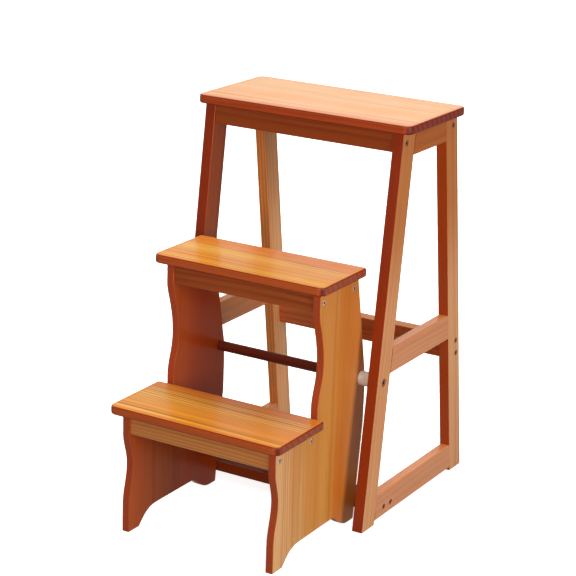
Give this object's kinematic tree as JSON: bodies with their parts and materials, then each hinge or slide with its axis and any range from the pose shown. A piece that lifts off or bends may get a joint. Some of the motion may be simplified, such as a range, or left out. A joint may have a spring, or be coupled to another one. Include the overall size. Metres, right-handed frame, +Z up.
{
  "type": "folding step ladder",
  "caption": "Wooden flip-over step ladder: a trapezoid frame with a top tread and a hinged unit of two steps that swings up and over into the frame.",
  "frame": {"origin": "on the floor, at the middle of the footprint of the whole ladder with the steps folded out", "axes": "+X across the treads, +Y from the lowest step at the front to the rear legs, +Z up"},
  "size_m": [0.382, 0.57, 0.64],
  "materials": {
    "top_tread_wood": "clear gloss varnish on honey-stained pine, pale top face",
    "step_wood": "clear gloss varnish on honey-stained pine",
    "panel_wood": "clear satin varnish on edge-glued pine board",
    "frame_wood": "satin varnish on cherry-stained pine",
    "rail_wood": "satin varnish on cherry-stained pine",
    "apron_wood": "satin varnish on cherry-stained pine",
    "dowel_wood": "bare beech",
    "screw_steel": "bright nickel plate",
    "pivot_steel": "bright nickel plate",
    "spacer_plastic": "moulded off-white plastic"
  },
  "bodies": {
    "frame": {"floor_board": "frame_wood", "left_floor_board_front_screw": "screw_steel", "left_floor_board_rear_screw": "screw_steel", "left_front_apron_screw": "screw_steel", "left_front_leg": "frame_wood", "left_front_leg_dowel": "dowel_wood", "left_lower_side_rail": "rail_wood", "left_mid_side_rail": "rail_wood", "left_rear_apron_screw": "screw_steel", "left_rear_leg": "frame_wood", "left_rear_leg_dowel": "dowel_wood", "left_rear_rail_lower_screw": "screw_steel", "left_rear_rail_upper_screw": "screw_steel", "left_top_side_apron": "rail_wood", "rear_cross_rail": "rail_wood", "right_floor_board_front_screw": "screw_steel", "right_floor_board_rear_screw": "screw_steel", "right_front_apron_screw": "screw_steel", "right_front_leg": "frame_wood", "right_front_leg_dowel": "dowel_wood", "right_lower_side_rail": "rail_wood", "right_mid_side_rail": "rail_wood", "right_rear_apron_screw": "screw_steel", "right_rear_leg": "frame_wood", "right_rear_leg_dowel": "dowel_wood", "right_rear_rail_lower_screw": "screw_steel", "right_rear_rail_upper_screw": "screw_steel", "right_top_side_apron": "rail_wood", "top_front_apron": "apron_wood", "top_rear_apron": "apron_wood", "top_tread": "top_tread_wood"},
    "step_unit": {"left_lower_front_apron_screw": "screw_steel", "left_lower_rear_apron_screw": "screw_steel", "left_lower_step_dowel": "dowel_wood", "left_middle_front_apron_screw": "screw_steel", "left_middle_rear_apron_screw": "screw_steel", "left_middle_step_dowel": "dowel_wood", "left_pivot_bolt": "pivot_steel", "left_pivot_insert": "pivot_steel", "left_pivot_spacer": "spacer_plastic", "left_side_panel": "panel_wood", "lower_front_apron": "apron_wood", "lower_rear_apron": "apron_wood", "lower_step": "step_wood", "middle_front_apron": "apron_wood", "middle_rear_apron": "apron_wood", "middle_step": "step_wood", "pivot_bar": "frame_wood", "right_lower_front_apron_screw": "screw_steel", "right_lower_rear_apron_screw": "screw_steel", "right_lower_step_dowel": "dowel_wood", "right_middle_front_apron_screw": "screw_steel", "right_middle_rear_apron_screw": "screw_steel", "right_middle_step_dowel": "dowel_wood", "right_pivot_bolt": "pivot_steel", "right_pivot_insert": "pivot_steel", "right_pivot_spacer": "spacer_plastic", "right_side_panel": "panel_wood"}
  },
  "joints": [
    {"name": "step_unit_pivot", "type": "hinge", "parent": "frame", "child": "step_unit", "pos_m": [0, -0.01487, 0.237], "axis": [-1, 0, 0], "range_deg": [0, 183.2]}
  ]
}
